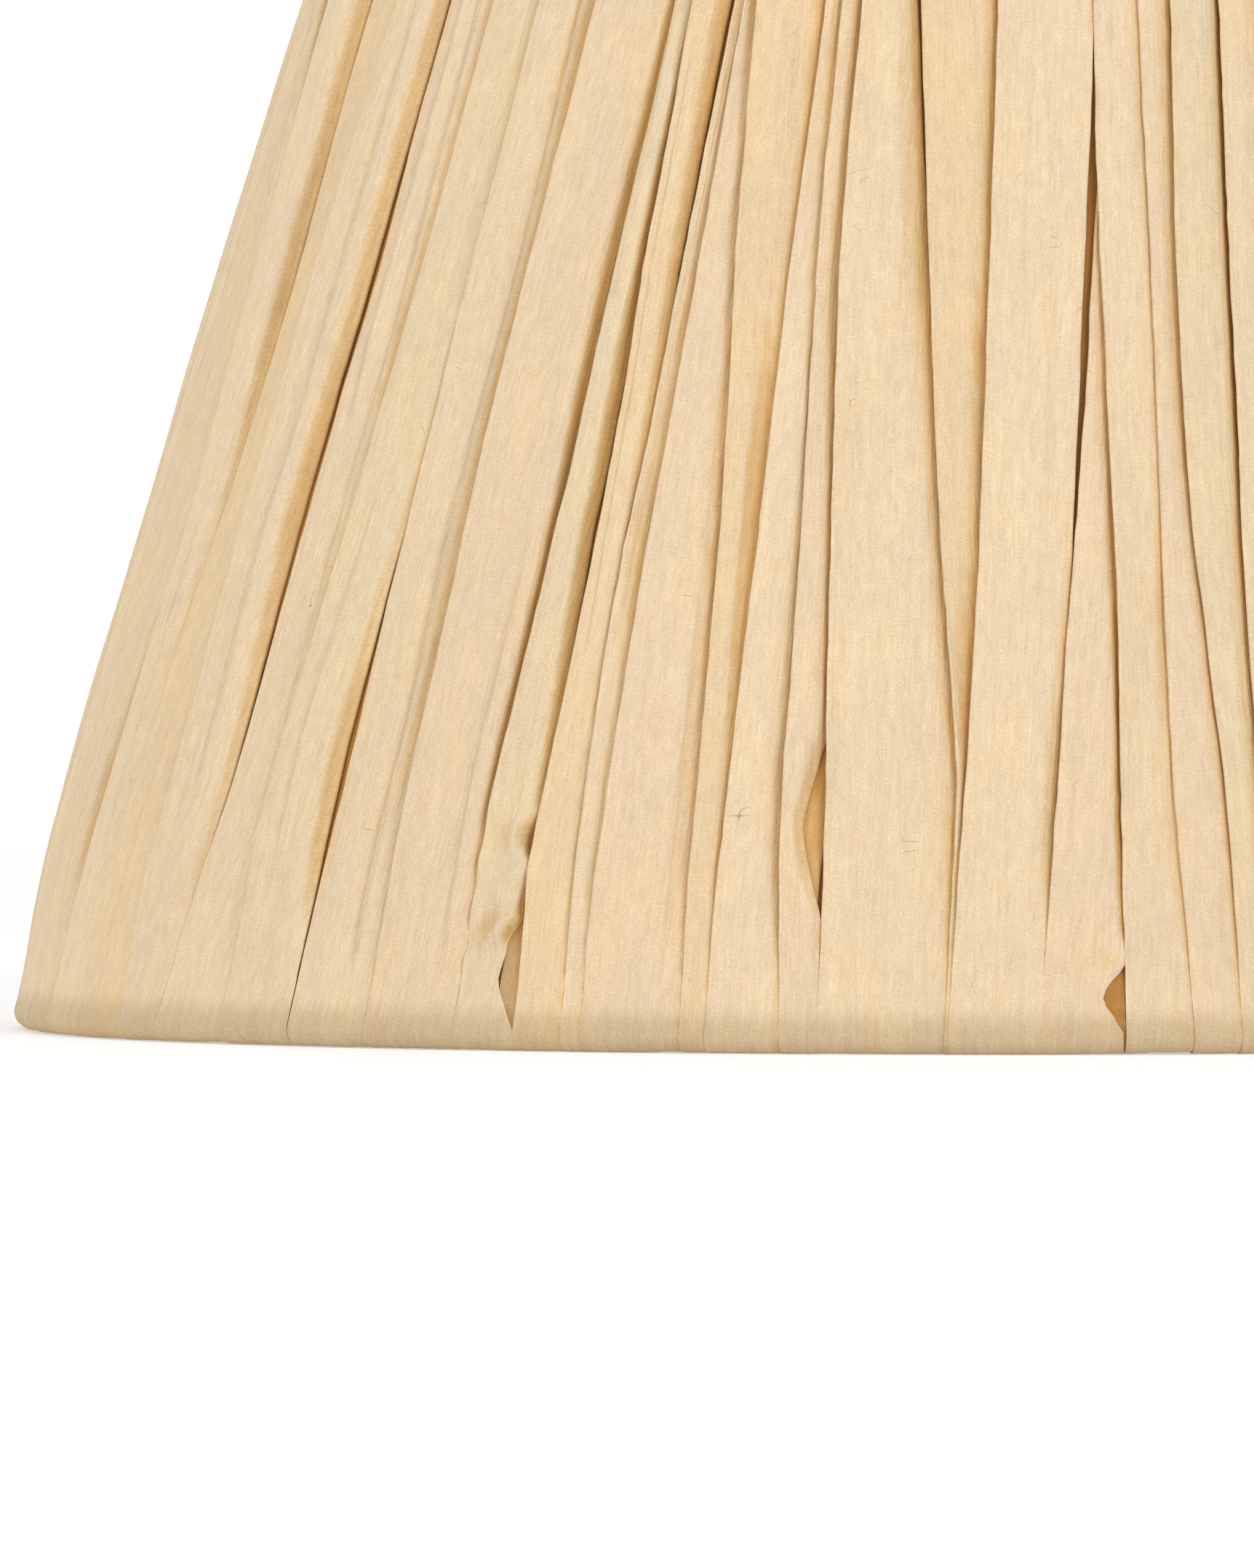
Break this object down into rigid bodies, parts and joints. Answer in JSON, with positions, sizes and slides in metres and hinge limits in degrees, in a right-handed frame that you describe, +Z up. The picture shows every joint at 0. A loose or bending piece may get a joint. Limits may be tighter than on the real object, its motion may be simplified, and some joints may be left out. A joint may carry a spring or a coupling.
{
  "type": "lamp shade",
  "caption": "Empire table lamp shade: crumpled paper raffia ribbon wound round a wire frame, with a three-armed fitter and a lift-out reducer ring.",
  "frame": {"origin": "on the shade's axis, at the height of the bottom rim it stands on", "axes": "+Z up the axis of symmetry to the narrow end; one fitter arm lies along +Y"},
  "size_m": [0.3998, 0.3998, 0.255],
  "materials": {
    "raffia_paper": "matt crumpled natural paper raffia",
    "coated_steel": "satin white coating over steel wire",
    "white_plastic": "fine satin moulding"
  },
  "bodies": {
    "shade": {"ribbon_01": "raffia_paper", "ribbon_02": "raffia_paper", "ribbon_03": "raffia_paper", "ribbon_04": "raffia_paper", "ribbon_05": "raffia_paper", "ribbon_06": "raffia_paper", "ribbon_07": "raffia_paper", "ribbon_08": "raffia_paper", "ribbon_09": "raffia_paper", "ribbon_10": "raffia_paper", "ribbon_11": "raffia_paper", "ribbon_12": "raffia_paper", "ribbon_13": "raffia_paper", "ribbon_14": "raffia_paper", "ribbon_15": "raffia_paper", "ribbon_16": "raffia_paper", "ribbon_17": "raffia_paper", "ribbon_18": "raffia_paper", "ribbon_19": "raffia_paper", "ribbon_20": "raffia_paper", "ribbon_21": "raffia_paper", "ribbon_22": "raffia_paper", "ribbon_23": "raffia_paper", "ribbon_24": "raffia_paper", "ribbon_25": "raffia_paper", "ribbon_26": "raffia_paper", "ribbon_27": "raffia_paper", "ribbon_28": "raffia_paper", "ribbon_29": "raffia_paper", "ribbon_30": "raffia_paper", "ribbon_31": "raffia_paper", "ribbon_32": "raffia_paper", "ribbon_33": "raffia_paper", "ribbon_34": "raffia_paper", "ribbon_35": "raffia_paper", "ribbon_36": "raffia_paper", "ribbon_37": "raffia_paper", "ribbon_38": "raffia_paper", "ribbon_39": "raffia_paper", "ribbon_40": "raffia_paper", "ribbon_41": "raffia_paper", "ribbon_42": "raffia_paper", "bottom_ring": "coated_steel", "top_ring": "coated_steel", "strut_1": "coated_steel", "strut_2": "coated_steel", "strut_3": "coated_steel", "strut_4": "coated_steel", "strut_5": "coated_steel", "strut_6": "coated_steel", "fitter_arm_1": "coated_steel", "fitter_arm_2": "coated_steel", "fitter_arm_3": "coated_steel", "gallery_ring": "coated_steel"},
    "reducer": {"reducer_ring": "white_plastic"}
  },
  "joints": [
    {"name": "reducer_lift", "type": "slide", "parent": "shade", "child": "reducer", "axis": [0, 0, 1], "range_m": [0, 0.24]}
  ]
}
